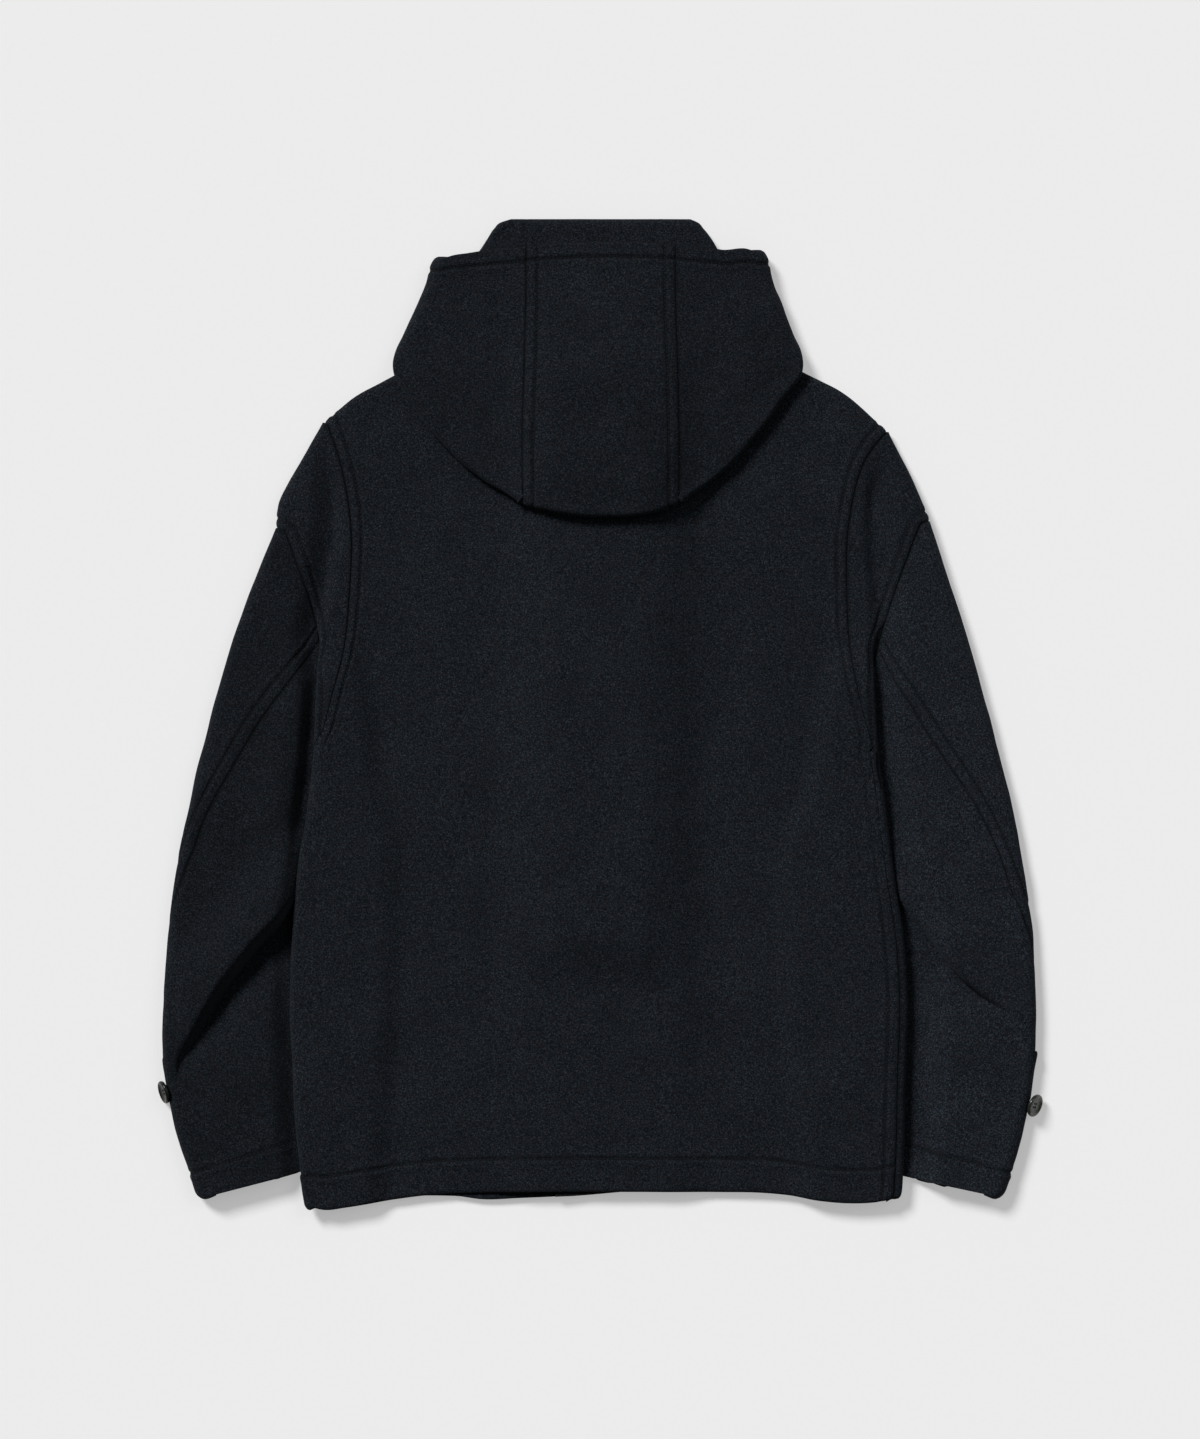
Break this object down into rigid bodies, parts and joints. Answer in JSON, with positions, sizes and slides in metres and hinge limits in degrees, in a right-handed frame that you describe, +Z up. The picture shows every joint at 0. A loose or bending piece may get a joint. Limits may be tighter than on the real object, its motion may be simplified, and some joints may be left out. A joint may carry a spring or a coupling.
{
  "type": "duffle coat",
  "caption": "Short hooded duffle coat of heavy dark navy wool, lying face down with its hood folded flat on its back and its sleeves straight beside it.",
  "frame": {"origin": "centre of the bounding box's bottom, on the surface that the coat lies on", "axes": "+X to the wearer's right, which is on the right seen from above, +Y from the hem to the hood, +Z up from the surface through the coat's back"},
  "size_m": [0.7998, 0.8894, 0.042],
  "materials": {
    "coat_wool": "felted, with a short matt nap",
    "cuff_buttons": "dark horn look, satin",
    "toggle_horn": "brown horn look, satin",
    "loop_cord": "dark twisted cord, matt"
  },
  "bodies": {
    "root": {"back": "coat_wool", "front_left": "coat_wool", "front_right": "coat_wool", "cap_left": "coat_wool", "cap_right": "coat_wool", "sleeve_under_left": "coat_wool", "sleeve_under_right": "coat_wool", "sleeve_top_left": "coat_wool", "sleeve_top_right": "coat_wool", "hood_centre": "coat_wool", "hood_side_left": "coat_wool", "hood_side_right": "coat_wool", "hood_turned_under": "coat_wool", "cuff_tab_left": "coat_wool", "cuff_tab_right": "coat_wool", "cuff_button_left": "cuff_buttons", "cuff_button_right": "cuff_buttons", "toggle_1": "toggle_horn", "toggle_2": "toggle_horn", "toggle_3": "toggle_horn", "toggle_4": "toggle_horn", "loop_1": "loop_cord", "loop_2": "loop_cord", "loop_3": "loop_cord", "loop_4": "loop_cord"}
  },
  "joints": []
}
